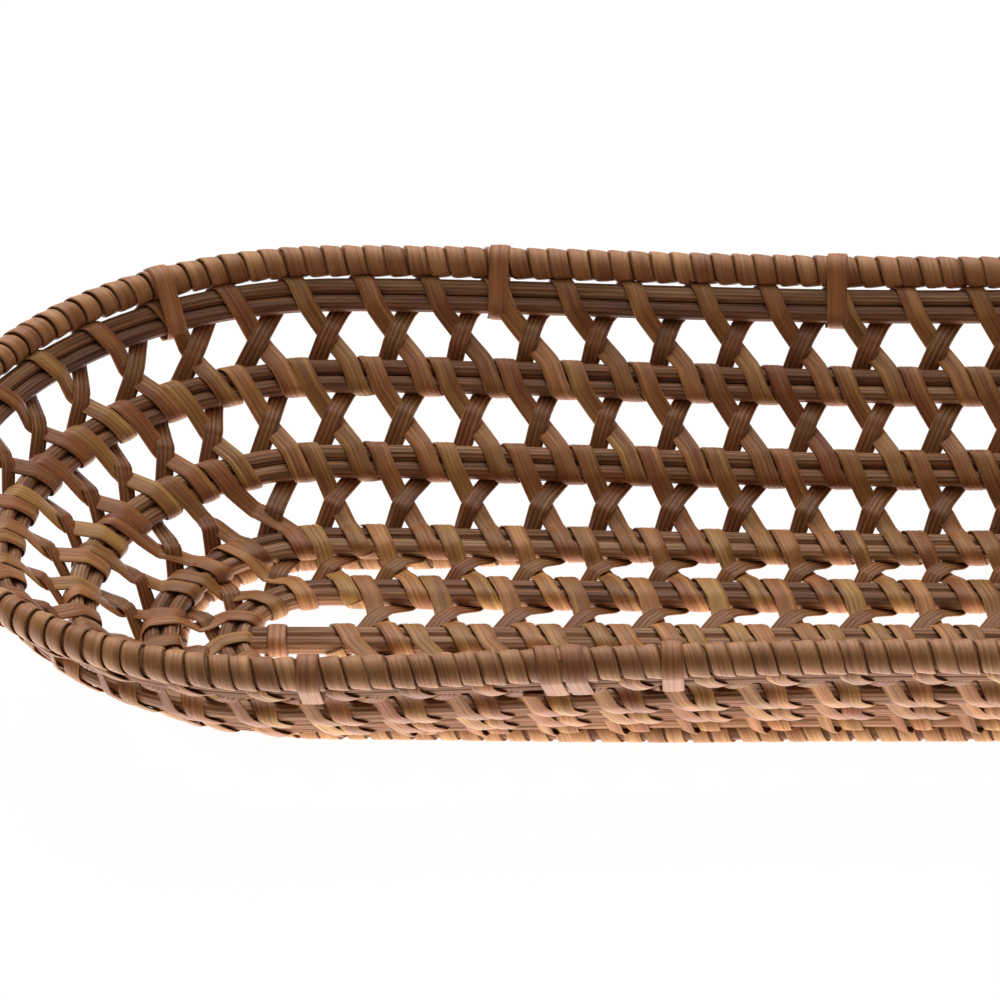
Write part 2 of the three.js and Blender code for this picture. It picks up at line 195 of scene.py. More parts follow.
@dataclass(frozen=True)
class Rail:
    """An oblong rail. h runs along its lean, outwards and up, and n square to it, to the inside.

    Like the hand-bent hoop that it is, it bulges a little where the near side meets the left end, and the
    wraps on it stray from their even places, by strays columns at the left end and at the left and the right of
    the far side.
    """

    name: str
    half: float
    height: float
    lean: float
    plan: Plan
    bulge: float = 0.0
    strays: tuple[float, float, float] = (0.0, 0.0, 0.0)

    def directions(self, t: np.ndarray) -> tuple[np.ndarray, np.ndarray]:
        """The directions of h and n.

        Args:
            t: places on the rail.

        Returns:
            Two arrays of unit vectors.
        """
        _, outward = self.plan.point(self.half, t)
        c, s = np.cos(np.radians(self.lean)), np.sin(np.radians(self.lean))
        lean = np.column_stack([outward * c, np.full(len(t), s)])
        inward = np.column_stack([-outward * s, np.full(len(t), c)])
        return lean, inward

    def at(self, t: np.ndarray, h: np.ndarray | float, n: np.ndarray | float) -> np.ndarray:
        """Points beside the rail's centre line.

        Args:
            t: places on the rail.
            h: offset along the lean.
            n: offset to the inside.

        Returns:
            Points in rows.
        """
        point, outward = self.plan.point(self.half, t)
        near_bulge = np.exp(-(((np.mod(t, 4.0) - BULGE_PLACE) / BULGE_SPAN) ** 2))
        point = point + outward * (self.bulge * near_bulge)[:, None]
        lean, inward = self.directions(t)
        base = np.column_stack([point, np.full(len(t), self.height)])
        return base + lean * np.reshape(h, (-1, 1)) + inward * np.reshape(n, (-1, 1))

    def stray(self, t: float) -> float:
        """How far a wrap at t strays from its even place, in columns."""
        end, left, right = self.strays
        strays = [left * 0.7, left, 0.0, right, 0.0, 0.0, end, end, left * 0.7]
        return float(np.interp(t % 4.0, STRAY_PLACES, strays))

    def step(self, t: float, length: float) -> float:
        """The step in t at a place that is a length along the rail."""
        on_side = np.mod(t, 2.0) < 1
        return length / (self.plan.straight if on_side else np.pi * self.half)


@dataclass(frozen=True)
class CentreRail(Rail):
    """The straight rail along the middle of the base, seen from one side of the tray."""

    side: int = 1

    def directions(self, t: np.ndarray) -> tuple[np.ndarray, np.ndarray]:
        """The level direction away from the middle, and straight up, as Rail gives them."""
        ones = np.ones(len(t))
        zeros = np.zeros(len(t))
        return np.column_stack([zeros, ones * self.side, zeros]), np.column_stack([zeros, zeros, ones])

    def at(self, t: np.ndarray, h: np.ndarray | float, n: np.ndarray | float) -> np.ndarray:
        """Points beside the rail's centre line.

        Args:
            t: places on the rail.
            h: offset away from the middle.
            n: offset upwards.

        Returns:
            Points in rows.
        """
        start = 0.0 if self.side > 0 else 2.0
        x = (t - start - 0.5) * self.plan.straight * self.side
        count = len(t)
        y = np.broadcast_to(np.asarray(h, float) * self.side, (count,))
        z = np.broadcast_to(self.height + np.asarray(n, float), (count,))
        return np.column_stack([x, y, z])

    def step(self, t: float, length: float) -> float:
        """The step in t that is a length along the rail, as Rail gives it."""
        return length / self.plan.straight


@dataclass(frozen=True)
class TrayFrame:
    """The rails of the tray and the sizes that its pieces share."""

    plan: Plan = Plan()
    strand: float = 3.5
    squeeze: float = 0.07
    clearance: float = 0.3
    peel: float = 0.55
    base_height: float = 3.4
    rim_diameter: float = 6.4
    rim_inset: float = 0.7
    rim_settling: float = 0.95

    @property
    def strand_offset(self) -> float:
        """From a rail's centre line to the middle of one of its strands, which press on each other."""
        return self.strand / 2 - self.squeeze

    def rails(self) -> dict[str, Rail]:
        """The oblong rails, from the inner base rail up to the upper rail.

        Returns:
            The rails by name.
        """
        # Name, half width, height over the base, lean, bulge and strays
        settled = [
            ("base_inner_rail", 17.6, 0.0, 0.0, 0.0, (0.0, 0.0, -0.22)),
            ("base_edge_rail", 31.8, 2.9, 8.0, 0.0, (0.0, 0.16, -0.12)),
            ("lower_rail", 45.3, 13.4, 45.25, 4.2, (-0.3, 0.2, -0.08)),
            ("middle_rail", 59.4, 24.9, 44.75, 4.2, (-0.2, 0.04, -0.04)),
            ("upper_rail", 70.8, 37.2, 47.0, 2.0, (0.0, -0.14, 0.0)),
        ]
        return {
            name: Rail(name, half, self.base_height + height, lean, self.plan, *rest)
            for name, half, height, lean, *rest in settled
        }

    def rim_place(self) -> tuple[float, float]:
        """The rim's centre line, as h and n from the upper rail."""
        reach = self.strand + 2 * self.clearance + self.peel + self.rim_diameter / 2
        return reach - self.rim_settling, self.rim_inset


# ---- Finishes


@dataclass(frozen=True)
class CaneFinish:
    """Split or round rattan cane, scraped and left bare or thinly varnished.

    Its fibres run lengthwise, and the eye sees them as fine darker lines with a dull shine between them. Real ones
    lie about 0.3 mm apart, and they are drawn a little coarser, fibre_width in millimetres, so that they show.
    Each length has its own tone, from pale straw to a reddish brown.
    """

    name: str
    slot: str
    pale: str
    body: str
    dark: str
    flesh: str
    roughness: float = 0.5
    coat: float = 0.05
    fibre_width: float = 0.42
    relief: float = 0.12
    spread: float = 0.18
    groove_shade: float = 0.55
    line_shade: float = 0.72

    def build(self) -> bpy.types.Material:
        """Makes the material.

        Returns:
            The procedural material, which reads the cane's own attributes.
        """
        material = bpy.data.materials.new(self.name)
        add = open_nodes(material)
        read = {
            name: add("ShaderNodeAttribute", attribute_name=name).outputs["Fac"]
            for name in ("along", "across", "tone", "skin", "groove")
        }
        # Millimetres along and across the cane
        flat = add("ShaderNodeCombineXYZ", {0: read["along"], 1: read["across"]}).outputs[0]
        grain = add("ShaderNodeVectorMath", {0: flat, "Scale": 1 / MM}, operation="SCALE").outputs[0]
        noise = {}
        for name, length, width, detail, roughness in (
            ("fibres", 24, self.fibre_width, 2.0, 0.6),
            ("bands", 30, 1.8, 3.0, 0.55),
        ):
            share = (1 / length, 1 / width, 0.0)
            at = add("ShaderNodeVectorMath", {0: grain, 1: share}, operation="MULTIPLY").outputs[0]
            values = {"Vector": at, "Scale": 1.0, "Detail": detail, "Roughness": roughness}
            noise[name] = add("ShaderNodeTexNoise", values, noise_dimensions="2D").outputs["Fac"]
        # Tone by bands of fibres, dark lines between the fibres, painted shade in the grooves of the split cane, and
        # gloss
        part = {}
        for name, source, *limits in (
            ("band", noise["bands"], 0.25, 0.75, -self.spread, self.spread),
            ("line", noise["fibres"], 0.34, 0.54, self.line_shade, 1.05),
            ("groove", read["groove"], 0.0, 1.0, 1.0, self.groove_shade),
            ("roughness", noise["fibres"], 0.0, 1.0, self.roughness + 0.14, self.roughness - 0.1),
        ):
            values = {"Value": source, **dict(zip(RANGE, limits))}
            part[name] = add("ShaderNodeMapRange", values).outputs["Result"]
        # The length's own tone, from dark to pale
        toned = add("ShaderNodeMath", {0: read["tone"], 1: part["band"]}, operation="ADD").outputs[0]
        ramp = add("ShaderNodeValToRGB", {"Fac": toned})
        stops = ramp.color_ramp.elements
        stops.new(0.5)
        for stop, place, colour in zip(stops, (0.05, 0.5, 0.95), (self.dark, self.body, self.pale)):
            stop.position = place
            stop.color = linear_colour(colour)
        values = {"Factor": 0.55, 6: ramp.outputs["Color"], 7: linear_colour(self.flesh)}
        flesh = add("ShaderNodeMix", values, data_type="RGBA").outputs[2]
        values = {"Factor": read["skin"], 6: flesh, 7: ramp.outputs["Color"]}
        both = add("ShaderNodeMix", values, data_type="RGBA").outputs[2]
        shade = add("ShaderNodeMath", {0: part["line"], 1: part["groove"]}, operation="MULTIPLY").outputs[0]
        values = {"Factor": 1.0, 6: both, 7: shade}
        lined = add("ShaderNodeMix", values, data_type="RGBA", blend_type="MULTIPLY").outputs[2]
        values = {"Height": noise["fibres"], "Distance": self.relief * MM, "Strength": 0.8}
        bump = add("ShaderNodeBump", values).outputs["Normal"]
        values = {
            "Base Color": lined,
            "Roughness": part["roughness"],
            "IOR": 1.45,
            "Specular IOR Level": 0.3,
            "Coat Weight": self.coat,
            "Coat Roughness": 0.3,
            "Normal": bump,
        }
        shader = add("ShaderNodeBsdfPrincipled", values).outputs["BSDF"]
        add("ShaderNodeOutputMaterial", {"Surface": shader})
        return material


class Finish(Enum):
    """The canes on the tray, each with its own finish."""

    # Scraped peel in close turns: an even, warm brown with a dull shine
    RIM = CaneFinish("scraped_rattan_peel_on_rim", "rim_peel", "BC8858", "9E6A40", "7C4828", "8A5A38")
    # The same peel in single strips: a little redder
    TIE = CaneFinish("scraped_rattan_peel_on_ties", "tie_peel", "C4885A", "9A6238", "744224", "744830")
    # The same peel on the foot: paler
    FOOT = CaneFinish("scraped_rattan_peel_on_foot", "foot_peel", "C4986A", "A4764C", "865834", "785238")
    # Split peel: ridges lengthwise with painted shade in the grooves between them, and a tone that changes from
    # length to length
    LACING = CaneFinish(
        "split_rattan_peel_in_lacing", "lacing_skin", "B8804A", "955D33", "763A1C", "7E4626",
        spread=0.3, groove_shade=0.42,
    )
    # Split peel from another cane: the same, with a shade more yellow
    OLIVE = CaneFinish(
        "split_rattan_peel_from_older_cane", "lacing_flesh", "B28448", "915F31", "703E1E", "7A482A",
        spread=0.3, groove_shade=0.42,
    )
    # Round core without its peel: duller and rougher, with open pores that draw as lines
    RAIL = CaneFinish(
        "round_rattan_core_of_rails", "rail_rattan", "B68C64", "8F5D3B", "623E2A", "8F5D3B",
        roughness=0.6, fibre_width=0.45, spread=0.22, groove_shade=0.5, line_shade=0.6,
    )

    def __init__(self, finish: CaneFinish) -> None:
        """Keeps the finish, whose material is made when it is first asked for."""
        self.finish = finish
        self._material: bpy.types.Material | None = None

    @property
    def material(self) -> bpy.types.Material:
        """The finish's material."""
        if self._material is None:
            self._material = self.finish.build()
        return self._material


# ---- Geometry node trees


def open_tree(name: str, sockets: Sequence[tuple[str, str, float | int | None]]) -> tuple[bpy.types.NodeTree, dict]:
    """Starts a geometry tree with a geometry socket each way and named inputs.

    Args:
        name: the tree's name.
        sockets: name, type and default value of each further input.

    Returns:
        The tree, and its input sockets by name.
    """
    tree = bpy.data.node_groups.new(name, "GeometryNodeTree")
    tree.interface.new_socket("Geometry", in_out="INPUT", socket_type="NodeSocketGeometry")
    tree.interface.new_socket("Geometry", in_out="OUTPUT", socket_type="NodeSocketGeometry")
    for socket_name, kind, value in sockets:
        socket = tree.interface.new_socket(socket_name, in_out="INPUT", socket_type=kind)
        if value is not None:
            socket.default_value = value
    start = add_node(tree, "NodeGroupInput")
    return tree, {output.name: output for output in start.outputs if output.name}


STORE = "GeometryNodeStoreNamedAttribute"
SECTION_SOCKETS = [
    ("Width", "NodeSocketFloat", 0.004),
    ("Thickness", "NodeSocketFloat", 0.0005),
    ("Fullness", "NodeSocketFloat", 0.5),
    ("Flatness", "NodeSocketFloat", 1.0),
    ("Start", "NodeSocketFloat", 0.0),
    ("Ridges", "NodeSocketFloat", 4.0),
    ("Ridge Depth", "NodeSocketFloat", 0.3),
    ("Skin Ridges", "NodeSocketFloat", 0.0),
    ("Sides", "NodeSocketInt", 16),
]
CANE_SOCKETS = [*SECTION_SOCKETS, ("Material", "NodeSocketMaterial", None)]


def section_tree() -> bpy.types.NodeTree:
    """The tree that gives a curve a cane's section: crowned on its skin side and ridged on its flesh side.

    Returns:
        A group that takes a curve with its own normals and gives a smooth mesh.
    """
    tree, given = open_tree("cane_section", SECTION_SOCKETS)
    add = partial(add_node, tree)
    ring = add("GeometryNodeCurvePrimitiveCircle", {"Resolution": given["Sides"], "Radius": 1.0})
    place = add("GeometryNodeInputPosition").outputs[0]
    parts = add("ShaderNodeSeparateXYZ", {0: place})
    known = {**given, "up": parts.outputs["X"], "side": parts.outputs["Y"]}
    sums = [
        ("turned", "ARCSINE", "side"),
        ("even", "MULTIPLY", "turned", 2 / np.pi),
        ("slip", "SUBTRACT", "even", "side"),
        ("over", "MULTIPLY_ADD", "slip", "Flatness", "side"),
        ("size", "ABSOLUTE", "up"),
        ("full", "POWER", "size", "Fullness"),
        ("sign", "SIGN", "up"),
        ("shaped", "MULTIPLY", "full", "sign"),
        # Grooves, evenly round a strand or across a strip, narrower than the ridges between them
        ("turns", "MULTIPLY", "Ridges", np.pi),
        ("phase", "MULTIPLY", "even", "turns"),
        ("wave", "COSINE", "phase"),
        ("hollow", "MULTIPLY_ADD", "wave", -0.5, 0.5),
        ("ridged", "POWER", "hollow", 2.2),
        ("skin", "GREATER_THAN", "up", 0.0),
        ("less", "SUBTRACT", "Skin Ridges", 1.0),
        ("mask", "MULTIPLY_ADD", "skin", "less", 1.0),
        ("groove", "MULTIPLY", "ridged", "mask"),
        ("depth", "MULTIPLY", "groove", "Ridge Depth"),
        ("keep", "SUBTRACT", 1.0, "depth"),
        ("round", "SUBTRACT", 1.0, "Flatness"),
        ("pinch", "MULTIPLY", "depth", "round"),
        ("keep over", "SUBTRACT", 1.0, "pinch"),
        ("lifted", "MULTIPLY", "shaped", "keep"),
        ("spread", "MULTIPLY", "over", "keep over"),
        ("half thickness", "MULTIPLY", "Thickness", 0.5),
        ("half width", "MULTIPLY", "Width", 0.5),
        ("height", "MULTIPLY", "lifted", "half thickness"),
        ("across", "MULTIPLY", "spread", "half width"),
    ]
    for name, operation, *operands in sums:
        values = {socket: known.get(operand, operand) for socket, operand in enumerate(operands)}
        known[name] = add("ShaderNodeMath", values, operation=operation).outputs[0]
    marked = ring.outputs["Curve"]
    for name in ("skin", "across", "groove"):
        values = {"Geometry": marked, "Name": name, "Value": known[name]}
        marked = add(STORE, values, data_type="FLOAT", domain="POINT").outputs[0]
    corner = add("ShaderNodeCombineXYZ", {0: known["height"], 1: known["across"]}).outputs[0]
    profile = add("GeometryNodeSetPosition", {"Geometry": marked, "Position": corner}).outputs[0]
    spline = add("GeometryNodeSplineParameter").outputs["Length"]
    run = add("ShaderNodeMath", {0: spline, 1: given["Start"]}, operation="ADD").outputs[0]
    values = {"Geometry": given["Geometry"], "Name": "along", "Value": run}
    long = add(STORE, values, data_type="FLOAT", domain="POINT").outputs[0]
    girth = add("GeometryNodeInputNamedAttribute", {"Name": "girth"}, data_type="FLOAT").outputs["Attribute"]
    values = {"Curve": long, "Profile Curve": profile, "Scale": girth, "Fill Caps": True}
    swept = add("GeometryNodeCurveToMesh", values).outputs[0]
    smooth = add("GeometryNodeSetShadeSmooth", {"Geometry": swept, "Shade Smooth": True}).outputs[0]
    add("NodeGroupOutput", {"Geometry": smooth})
    return tree


def close_tree(
    tree: bpy.types.NodeTree, given: dict, section: bpy.types.NodeTree, curve: bpy.types.NodeSocket
) -> bpy.types.NodeTree:
    """Ends a tree: its curve gets the cane's section, and becomes real faces in the cane's material.

    Args:
        tree: the tree.
        given: its input sockets by name.
        section: the tree that gives a curve its section.
        curve: the curve that the cane follows.

    Returns:
        The tree.
    """
    add = partial(add_node, tree)
    values = {"Geometry": curve, **{name: given[name] for name, _, _ in SECTION_SOCKETS}}
    cane = add("GeometryNodeGroup", values, node_tree=section).outputs["Geometry"]
    whole = add("GeometryNodeRealizeInstances", {"Geometry": cane}).outputs[0]
    dressed = add("GeometryNodeSetMaterial", {"Geometry": whole, "Material": given["Material"]}).outputs[0]
    add("NodeGroupOutput", {"Geometry": dressed})
    return tree


def laid_tree(section: bpy.types.NodeTree) -> bpy.types.NodeTree:
    """The tree that lays cane along the piece's own path, which carries its face directions.

    Args:
        section: the tree that gives a curve its section.

    Returns:
        The tree.
    """
    tree, given = open_tree("cane_laid_along_path", [("Smoothing", "NodeSocketInt", 4), *CANE_SOCKETS])
    add = partial(add_node, tree)
    curve = add("GeometryNodeMeshToCurve", {"Mesh": given["Geometry"]}).outputs[0]
    rounded = add("GeometryNodeCurveSplineType", {"Curve": curve}, spline_type="CATMULL_ROM").outputs[0]
    values = {"Geometry": rounded, "Resolution": given["Smoothing"]}
    fine = add("GeometryNodeSetSplineResolution", values).outputs[0]
    face = add("GeometryNodeInputNamedAttribute", {"Name": "face"}, data_type="FLOAT_VECTOR").outputs["Attribute"]
    turned = add("GeometryNodeSetCurveNormal", {"Curve": fine, "Normal": face}, mode="FREE").outputs[0]
    points = add("GeometryNodeResampleCurve", {"Curve": turned}, mode="EVALUATED").outputs[0]
    return close_tree(tree, given, section, points)


def wound_tree(section: bpy.types.NodeTree) -> bpy.types.NodeTree:
    """The tree that winds peel round the piece's own path in one long helix.

    Args:
        section: the tree that gives a curve its section.

    Returns:
        The tree.
    """
    tree, given = open_tree(
        "peel_wound_round_path",
        [
            ("Radius", "NodeSocketFloat", 0.003),
            ("Turns", "NodeSocketInt", 100),
            ("Steps", "NodeSocketInt", 16),
            ("Tilt", "NodeSocketFloat", 0.0),
            ("Unevenness", "NodeSocketFloat", 0.0),
            ("Seed", "NodeSocketFloat", 0.0),
            *CANE_SOCKETS,
        ],
    )
    add = partial(add_node, tree)
    path = add("GeometryNodeMeshToCurve", {"Mesh": given["Geometry"]}).outputs[0]
    face = add("GeometryNodeInputNamedAttribute", {"Name": "face"}, data_type="FLOAT_VECTOR").outputs["Attribute"]
    path = add("GeometryNodeSetCurveNormal", {"Curve": path, "Normal": face}, mode="FREE").outputs[0]
    count = add("ShaderNodeMath", {0: given["Turns"], 1: given["Steps"]}, operation="MULTIPLY").outputs[0]
    line = add("GeometryNodeCurvePrimitiveLine").outputs[0]
    helix = add("GeometryNodeResampleCurve", {"Curve": line, "Count": count}, mode="COUNT").outputs[0]
    factor = add("GeometryNodeSplineParameter").outputs["Factor"]
    turn = add("ShaderNodeMath", {0: factor, 1: given["Turns"]}, operation="MULTIPLY").outputs[0]
    apart = add("ShaderNodeMath", {0: turn, 1: given["Seed"]}, operation="ADD").outputs[0]
    # From turn to turn the peel sways a little, and its tone and girth change
    noise = {}
    for name, scale, detail, roughness in (("sway", 0.7, 1.0, 0.5), ("tone", 0.9, 2.0, 0.7)):
        values = {"W": apart, "Scale": scale, "Detail": detail, "Roughness": roughness}
        noise[name] = add("ShaderNodeTexNoise", values, noise_dimensions="1D").outputs["Fac"]
    spread = {}
    for name, source, *limits in (
        ("sway", "sway", 0.2, 0.8, -1.0, 1.0),
        ("tone", "tone", 0.3, 0.7, 0.3, 0.75),
        ("girth", "tone", 0.3, 0.7, 1.03, 0.95),
    ):
        values = {"Value": noise[source], **dict(zip(RANGE, limits))}
        spread[name] = add("ShaderNodeMapRange", values).outputs["Result"]
    # Where the helix sits on the path: evenly, but for the sway
    values = {0: spread["sway"], 1: given["Unevenness"], 2: turn}
    shifted = add("ShaderNodeMath", values, operation="MULTIPLY_ADD").outputs[0]
    values = {0: shifted, 1: given["Turns"]}
    share = add("ShaderNodeMath", values, operation="DIVIDE", use_clamp=True).outputs[0]
    values = {"Curves": path, "Factor": share}
    sample = add("GeometryNodeSampleCurve", values, mode="FACTOR", use_all_curves=True).outputs
    # The helix itself, round the path's own normal
    values = {0: sample["Tangent"], 1: sample["Normal"]}
    beside = add("ShaderNodeVectorMath", values, operation="CROSS_PRODUCT").outputs[0]
    angle = add("ShaderNodeMath", {0: turn, 1: 2 * np.pi}, operation="MULTIPLY").outputs[0]
    parts = []
    for way, operation in ((sample["Normal"], "COSINE"), (beside, "SINE")):
        wave = add("ShaderNodeMath", {0: angle}, operation=operation).outputs[0]
        parts.append(add("ShaderNodeVectorMath", {0: way, "Scale": wave}, operation="SCALE").outputs[0])
    radial = add("ShaderNodeVectorMath", {0: parts[0], 1: parts[1]}, operation="ADD").outputs[0]
    moved = []
    for way, size, start in (
        (radial, given["Radius"], sample["Position"]),
        (sample["Tangent"], given["Tilt"], radial),
    ):
        step = add("ShaderNodeVectorMath", {0: way, "Scale": size}, operation="SCALE").outputs[0]
        moved.append(add("ShaderNodeVectorMath", {0: start, 1: step}, operation="ADD").outputs[0])
    position, shown = moved
    for name, value, kind in (
        ("tone", spread["tone"], "FLOAT"),
        ("girth", spread["girth"], "FLOAT"),
        ("face", shown, "FLOAT_VECTOR"),
    ):
        values = {"Geometry": helix, "Name": name, "Value": value}
        helix = add(STORE, values, data_type=kind, domain="POINT").outputs[0]
    placed = add("GeometryNodeSetPosition", {"Geometry": helix, "Position": position}).outputs[0]
    turned = add("GeometryNodeSetCurveNormal", {"Curve": placed, "Normal": face}, mode="FREE").outputs[0]
    return close_tree(tree, given, section, turned)


# ---- Cane


@dataclass
class Path:
    """A line that a cane follows: its points in millimetres, the way its skin faces, its tone and girth."""

    points: np.ndarray
    faces: np.ndarray
    tones: np.ndarray
    girths: np.ndarray

    @classmethod
    def plain(cls, points: np.ndarray, faces: np.ndarray, tone: float = 0.5) -> "Path":
        """A path of one tone and girth."""
        return cls(points, faces, np.full(len(points), tone), np.ones(len(points)))

    def mesh(self, name: str) -> bpy.types.Mesh:
        """The path as a mesh of points and edges with its attributes.

        Args:
            name: the mesh's name.

        Returns:
            The mesh, in metres.
        """
        tangents = np.gradient(self.points, axis=0)
        tangents /= np.linalg.norm(tangents, axis=1)[:, None]
        faces = self.faces - tangents * np.sum(self.faces * tangents, axis=1)[:, None]
        faces /= np.linalg.norm(faces, axis=1)[:, None]
        count = len(self.points)
        mesh = bpy.data.meshes.new(name)
        mesh.from_pydata((self.points * MM).tolist(), [(i, i + 1) for i in range(count - 1)], [])
        for label, kind, key, values in (
            ("face", "FLOAT_VECTOR", "vector", faces.ravel()),
            ("tone", "FLOAT", "value", self.tones),
            ("girth", "FLOAT", "value", self.girths),
        ):
            mesh.attributes.new(label, kind, "POINT").data.foreach_set(key, values)
        return mesh


@dataclass(frozen=True)
class Section:
    """The section of a cane, in millimetres."""

    width: float
    thickness: float
    fullness: float = 0.4
    ridges: float = 4.0
    ridge_depth: float = 0.3
    skin_ridges: float = 0.0
    sides: int = 16
    flatness: float = 1.0

    @classmethod
    def round(cls, diameter: float, ridges: float = 1.0, depth: float = 0.0, sides: int = 12) -> "Section":
        """A round cane, ridged all round."""
        return cls(diameter, diameter, 1.0, ridges, depth, 1.0, sides, 0.0)

    def inputs(self) -> dict[str, float | int]:
        """The section as inputs of a tree, in metres."""
        inputs = {name.replace("_", " ").title(): value for name, value in asdict(self).items()}
        return {**inputs, "Width": self.width * MM, "Thickness": self.thickness * MM}


@dataclass(frozen=True)
class Winding:
    """How peel is wound: its pitch in millimetres, points to a turn, tilt of its face, and sway in turns."""

    section: Section
    pitch: float
    steps: int
    tilt: float
    unevenness: float
    seed: float


class Workshop:
    """Makes canes from paths, as finished pieces that ride on the tray."""

    def __init__(self) -> None:
        """Builds the trees."""
        section = section_tree()
        self.laid = laid_tree(section)
        self.wound = wound_tree(section)

    def lay(
        self,
        node: str,
        path: Path,
        section: Section,
        finish: Finish,
        smoothing: int = 2,
        winding: dict[str, float | int] | None = None,
    ) -> None:
        """Lays cane along a path, or winds it round the path, and sets the piece in the tray.

        Args:
            node: the CAD node that the piece stands for, and is named after.
            path: the line that it follows.
            section: its section.
            finish: its finish.
            smoothing: steps between two points of the path.
            winding: the winding's own inputs, for peel that is wound round the path.
        """
        name = node + ("_cane" if finish is Finish.RAIL else "_peel")
        tree = self.wound if winding else self.laid
        values = {**(winding or {"Smoothing": smoothing}), **section.inputs(), "Material": finish.material}
        guide = add_object(name + "_path", path.mesh(name + "_path"))
        # Each cane is cut from another stretch, so that no two have the same fibres
        values["Start"] = sum(map(ord, name)) % 89 * 0.037
        modifier = guide.modifiers.new("cane", "NODES")
        modifier.node_group = tree
        sockets = {item.name: item.identifier for item in tree.interface.items_tree if item.in_out == "INPUT"}
        for key, value in values.items():
            modifier[sockets[key]] = value
        made = bpy.data.meshes.new_from_object(guide.evaluated_get(bpy.context.evaluated_depsgraph_get()))
        made.name = name
        bpy.data.objects.remove(guide)
        piece = add_object(name, made)
        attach(piece, BODY)
        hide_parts(node)
        LOG.info("%s: %d faces", name, len(made.polygons))

    def bind(self, core: str, node: str, path: Path, radius: float, winding: Winding, finish: Finish) -> None:
        """Lays a round core and winds peel round it, turn by turn.

        Args:
            core: the CAD node of the core.
            node: the CAD node of the peel.
            path: the middle of the core.
            radius: to the outside of the peel.
            winding: how the peel is wound.
            finish: the peel's finish.
        """
        thickness = winding.section.thickness
        self.lay(core, path, Section.round(2 * (radius - thickness)), Finish.RAIL, 1)
        length = float(np.sum(np.linalg.norm(np.diff(path.points, axis=0), axis=1)))
        inputs = {name.title(): getattr(winding, name) for name in ("steps", "tilt", "unevenness", "seed")}
        inputs |= {"Radius": (radius - thickness / 2) * MM, "Turns": round(length / winding.pitch)}
        self.lay(node, path, winding.section, finish, winding=inputs)


def smooth_noise(rng: np.random.Generator, count: int, spacing: float) -> np.ndarray:
    """Noise from -1 to 1 that wanders slowly along a row of points.

    Args:
        rng: the seeded generator.
        count: how many points.
        spacing: points from one random value to the next.

    Returns:
        One value for each point.
    """
    knots = rng.uniform(-1, 1, int(count / spacing) + 3)
    return np.interp(np.arange(count) / spacing, np.arange(len(knots)), knots)


# ---- Sub-assemblies


@dataclass
class Rails:
    """The strands of the rails: ten oblong ones and the two straight ones of the centre rail."""

    tray: TrayFrame
    shop: Workshop
    step: float = 6.0
    wobble: float = 0.1
    overhang: float = 1.6
    centre_points: int = 30
    tone_sway: float = 0.3
    girth_sway: float = 0.015
    section: Section = Section.round(3.5, ridges=6.0, depth=0.06, sides=52)

    def build(self) -> None:
        """Makes every strand."""
        for rail in self.tray.rails().values():
            for side, sign in (("outer", 1), ("inner", -1)):
                self.oblong(rail, side, sign)
        for side, sign in (("far", 1), ("near", -1)):
            self.straight(side, sign)

    def oblong(self, rail: Rail, side: str, sign: int) -> None:
        """Makes one strand of an oblong rail.

        Args:
            rail: the rail.
            side: outer or inner.
            sign: 1 for outer and -1 for inner.
        """
        seed = sum(map(ord, rail.name)) + sign
        rng = np.random.default_rng(seed)
        length = 2 * (self.tray.plan.straight + np.pi * rail.half)
        count = int(length / self.step)
        t = 1.5 + np.linspace(0, 4, count)
        sway = smooth_noise(rng, count, 9) * self.wobble
        points = rail.at(t, sign * self.tray.strand_offset, sway)
        _, inward = rail.directions(t)
        tones = 0.5 + self.tone_sway * smooth_noise(rng, count, 14)
        girths = 1 + self.girth_sway * smooth_noise(rng, count, 5)
        node = f"{rail.name}_{side}_strand"
        self.shop.lay(node, Path(points, inward, tones, girths), self.section, Finish.RAIL)

    def straight(self, side: str, sign: int) -> None:
        """Makes one strand of the centre rail.

        Args:
            side: far or near.
            sign: 1 for far and -1 for near.
        """
        node = f"centre_rail_{side}_strand"
        low, high = (np.array(corner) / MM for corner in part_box(node))
        rng = np.random.default_rng(40 + sign)
        count = self.centre_points
        x = np.linspace(low[0] - self.overhang, high[0] + self.overhang, count)
        y = np.full(count, sign * self.tray.strand_offset) + self.wobble * smooth_noise(rng, count, 5)
        points = np.column_stack([x, y, np.full(count, self.tray.base_height)])
        tones = 0.5 + self.tone_sway * smooth_noise(rng, count, 6)
        path = Path(points, np.tile([0.0, 0.0, 1.0], (count, 1)), tones, np.ones(count))
        self.shop.lay(node, path, self.section, Finish.RAIL)


